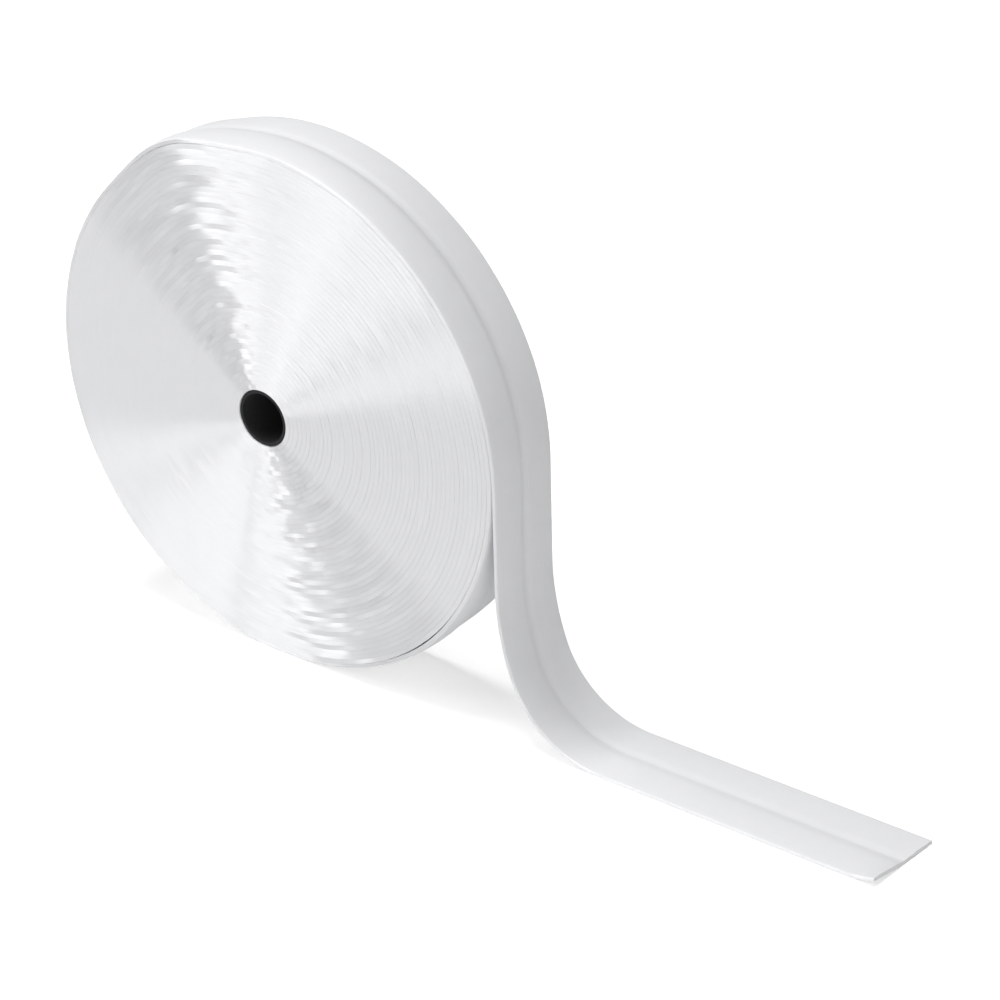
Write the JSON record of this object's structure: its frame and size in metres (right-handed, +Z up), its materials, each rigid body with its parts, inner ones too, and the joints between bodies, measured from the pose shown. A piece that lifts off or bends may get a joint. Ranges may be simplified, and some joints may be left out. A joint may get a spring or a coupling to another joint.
{
  "type": "roll of hook and loop tape",
  "caption": "Narrow roll of white woven hook and loop tape wound on a dark core, standing on edge, with its loose end run out flat beside it.",
  "frame": {"origin": "on the surface that the roll stands on, under the core's axis and halfway across the tape", "axes": "+X the way the loose end runs, +Y from the front face to the rear face along the core, +Z up"},
  "size_m": [0.4219, 0.0422, 0.2371],
  "materials": {
    "tape": "satin white woven nylon",
    "core": "matt black"
  },
  "bodies": {
    "root": {"wound_roll": "tape", "core": "core", "loose_end": "tape"}
  },
  "joints": []
}
